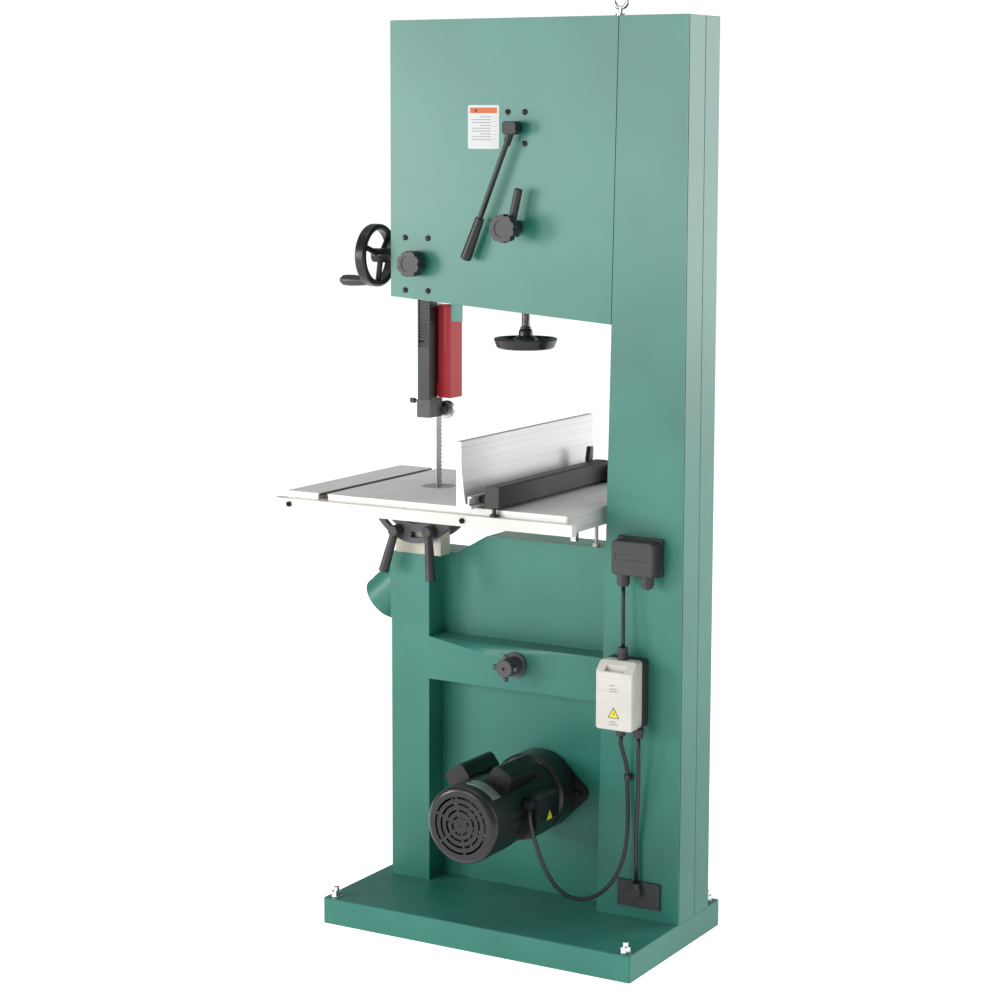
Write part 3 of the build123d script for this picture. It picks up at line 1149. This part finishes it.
with BuildPart() as motor_rotor:
    rod((MOTOR_X, BELT_Y - BELT_W / 2 - 4, MOTOR_Z), (MOTOR_X, 330, MOTOR_Z), AXLE_R)
    rod((MOTOR_X, 94, MOTOR_Z), (MOTOR_X, 206, MOTOR_Z), 46)
    rod((MOTOR_X, 292, MOTOR_Z), (MOTOR_X, 296, MOTOR_Z), 66)
    for turn in range(7):
        angle = 2 * pi * turn / 7
        with BuildSketch(Plane(origin=(MOTOR_X, 295, MOTOR_Z), x_dir=(cos(angle), 0, sin(angle)), z_dir=(0, 1, 0))):
            with Locations((38, 0)):
                Rectangle(54, 3)
        extrude(amount=30)
    with BuildSketch(motor_plane):
        outline(
            [
                (0, BELT_Y - BELT_W / 2 - FLANGE_T),
                (SMALL_PULLEY_R + 4, BELT_Y - BELT_W / 2 - FLANGE_T),
                (SMALL_PULLEY_R + 4, BELT_Y - BELT_W / 2 - BELT_SIDE),
                (SMALL_PULLEY_R, BELT_Y - BELT_W / 2 - BELT_SIDE),
                (SMALL_PULLEY_R, BELT_Y + BELT_W / 2 + BELT_SIDE),
                (SMALL_PULLEY_R + 4, BELT_Y + BELT_W / 2 + BELT_SIDE),
                (SMALL_PULLEY_R + 4, BELT_Y + BELT_W / 2 + FLANGE_T),
                (0, BELT_Y + BELT_W / 2 + FLANGE_T),
            ]
        )
    revolve(axis=motor_axis)
save(motor_rotor, "motor_rotor")

# capacitor covers along the top of the motor and the terminal box low on its column side
with BuildPart() as motor_boxes:
    for angle, start, end in ((54, 150, 272), (118, 150, 268)):
        way = Vector(cos(radians(angle)), 0, sin(radians(angle)))
        centre = Vector(MOTOR_X, end, MOTOR_Z) + way * (MOTOR_R + 14)
        with BuildSketch(Plane(origin=centre, x_dir=way.cross(Vector(0, 1, 0)), z_dir=(0, -1, 0))):
            RectangleRounded(50, 44, 14)
        extrude(amount=end - start)
    with BuildSketch(at_y(214)):
        outline([(-52, 318), (-100, 318), (-100, 268), (-78, 232), (-52, 226)])
    extrude(amount=82)
    rod((MOTOR_X, 100, MOTOR_Z), (MOTOR_X, 300, MOTOR_Z), MOTOR_R + 0.1, mode=Mode.SUBTRACT)
    rod((MOTOR_X, COWL_BACK - 1, MOTOR_Z), (MOTOR_X, 300, MOTOR_Z), COWL_R + 0.1, mode=Mode.SUBTRACT)
    box_between((-92, -76), (214, 236), (300, 316))
save(motor_boxes, "motor_boxes")

# ---- electrical boxes on the back of the column ----
with BuildPart() as connector_box:
    box_between((-304, -204), (BODY_BACK, 84), (772, 848))
    box_between((-301, -207), (84, 117), (775, 845))
    fillet(connector_box.edges().filter_by(Axis.Y).group_by(Axis.Y)[-1], 9)
    fillet(connector_box.faces().sort_by(Axis.Y)[-1].edges(), 3)
    box_between((-292, -216), (116, 119), (806, 820), mode=Mode.SUBTRACT)
    box_between((-284, -224), (115, 116.6), (809, 817))
save(connector_box, "connector_box")

STARTER_Z = (462.0, 601.0)
with BuildPart() as starter_box:
    box_between((-272, -186), (BODY_BACK, 98), STARTER_Z)
    fillet(starter_box.edges().filter_by(Axis.Y), 6)
save(starter_box, "starter_box")

with BuildPart() as starter_cover:
    box_between((-270, -188), (98, 142), STARTER_Z)
    fillet(starter_cover.edges().filter_by(Axis.Y), 6)
    # sloping shoulder above the front face, with a grey bay
    with BuildSketch(at_x(-271)):
        outline([(143, 578), (143, 603), (118, 603)])
    extrude(amount=84, mode=Mode.SUBTRACT)
    chamfer(starter_cover.faces().sort_by(Axis.Y)[-1].edges(), 2)
    box_between((-250, -206), (128, 150), (581, 604), mode=Mode.SUBTRACT)
    for z in (570, 542):
        box_between((-271, -187), (141.4, 143), (z - 0.8, z + 0.8), mode=Mode.SUBTRACT)
save(starter_cover, "starter_cover")

GLAND_R = 11.0
CLIP = (-232.0, 84.0, 353.0)
with BuildPart() as cable_fittings:
    # glands under the connector box
    for x in (-227, -281):
        rod((x, 100, 775), (x, 100, 757), 13)
        rod((x, 100, 757), (x, 100, 751), 11)
    rod((-281, 100, 751), (-281, 100, 748), 6)
    # glands above and below the starter
    rod((-230, 105, 601), (-230, 105, 612), GLAND_R)
    rod((-230, 105, 612), (-230, 105, 626), GLAND_R - 1.5)
    for x in (-227, -267):
        rod((x, 105, STARTER_Z[0]), (x, 105, 455), GLAND_R)
        rod((x, 105, 455), (x, 105, 444), GLAND_R - 2)
    # clip that holds the motor lead to the column
    box_between((CLIP[0] - 8, CLIP[0] + 8), (BODY_BACK, BODY_BACK + 3), (CLIP[2] - 6, CLIP[2] + 6))
    box_between((CLIP[0] - 2, CLIP[0] + 2), (BODY_BACK + 3, CLIP[1]), (CLIP[2] - 5, CLIP[2] + 5))
    tube((CLIP[0], CLIP[1], CLIP[2] - 5), (CLIP[0], CLIP[1], CLIP[2] + 5), CABLE_R + 3, CABLE_R + 0.2)
    # cover plate low on the column, and its gland
    box_between((-304, -208), (BODY_BACK, BODY_BACK + 6), (80, 135))
    rod((-254, BODY_BACK + 6, 117), (-254, BODY_BACK + 18, 117), 12)
    rod((-254, BODY_BACK + 12, 117), (-254, BODY_BACK + 12, 134), 9)
save(cable_fittings, "cable_fittings")


# ---- cables ----
def cable(points, name):
    """Round cable of straight runs joined by the largest arcs that the runs allow."""
    runs = [(Vector(*b) - Vector(*a)).length for a, b in zip(points, points[1:])]
    radii = []
    for before, corner, after, left, right in zip(points, points[1:], points[2:], runs, runs[1:]):
        turn = (Vector(*corner) - Vector(*before)).get_angle(Vector(*after) - Vector(*corner))
        radii.append(0.45 * min(left, right) / tan(radians(turn / 2)))
    with BuildPart() as cord:
        with BuildLine() as route:
            FilletPolyline(*points, radius=radii)
        path = route.wires()[0]
        with BuildSketch(Plane(origin=path @ 0, z_dir=path % 0)):
            Circle(CABLE_R)
        sweep(path=path)
    print(name, "radii", [round(r) for r in radii], "runs", [round(r) for r in runs])
    print(name, "length", round(path.length))
    print(name, "volume share", round(cord.part.volume / (pi * CABLE_R**2 * path.length), 4))
    return cord


MOTOR_LEAD = [
    (-84, 226, 300),
    (-84, 226, 280),
    (-87, 223, 256),
    (-92, 217, 230),
    (-98, 208, 198),
    (-108, 195, 160),
    (-123, 180, 127),
    (-144, 166, 108),
    (-168, 152, 103),
    (-192, 138, 111),
    (-213, 125, 131),
    (-227, 112, 158),
    (-235, 100, 192),
    (-237, 92, 234),
    (-235, 86, 285),
    (-232, 84, 334),
    (-232, 84, 372),
    (-229, 96, 402),
    (-227, 105, 426),
    (-227, 105, 444),
]
save(cable(MOTOR_LEAD, "motor_cable"), "motor_cable")

LINK = [(-227, 100, 751), (-227, 100, 722), (-227.6, 101.4, 690), (-230, 105, 656), (-230, 105, 626)]
LEAD = [
    (-267, 105, 444),
    (-267, 105, 408),
    (-264, 97, 362),
    (-260, 91, 312),
    (-256, 88, 262),
    (-253, 85, 212),
    (-254, 84, 170),
    (-254, 84, 134),
]
link_cable = cable(LINK, "link_cable")
lead_cable = cable(LEAD, "lead_cable")
with BuildPart() as control_cables:
    add(link_cable.part)
    add(lead_cable.part)
save(control_cables, "control_cables")

# ---- switch box on the front of the column cover, with its two buttons ----
SWITCH_X = (-320.0, -240.0)
SWITCH_Z = (1090.0, 1210.0)
SWITCH_FACE = DOOR_FRONT - 42
switch_mid = (SWITCH_X[0] + SWITCH_X[1]) / 2
with BuildPart() as switch_box:
    box_between(SWITCH_X, (SWITCH_FACE, DOOR_FRONT), SWITCH_Z)
    fillet(switch_box.edges().filter_by(Axis.Y), 8)
    fillet(switch_box.faces().sort_by(Axis.Y)[0].edges(), 3)
    for z, radius in ((1180, 12), (1126, 18)):
        rod((switch_mid, SWITCH_FACE, z), (switch_mid, SWITCH_FACE + 12, z), radius + LOOSE, mode=Mode.SUBTRACT)
save(switch_box, "switch_box")


def button(z, radius, proud):
    """Push button that moves along +Y into the box."""
    with BuildPart() as push:
        rod((switch_mid, SWITCH_FACE + 7, z), (switch_mid, SWITCH_FACE - proud, z), radius)
        fillet(push.faces().sort_by(Axis.Y)[0].edges(), 1.5)
    return push


save(button(1180, 12, 3), "start_button")
save(button(1126, 18, 9), "stop_button")
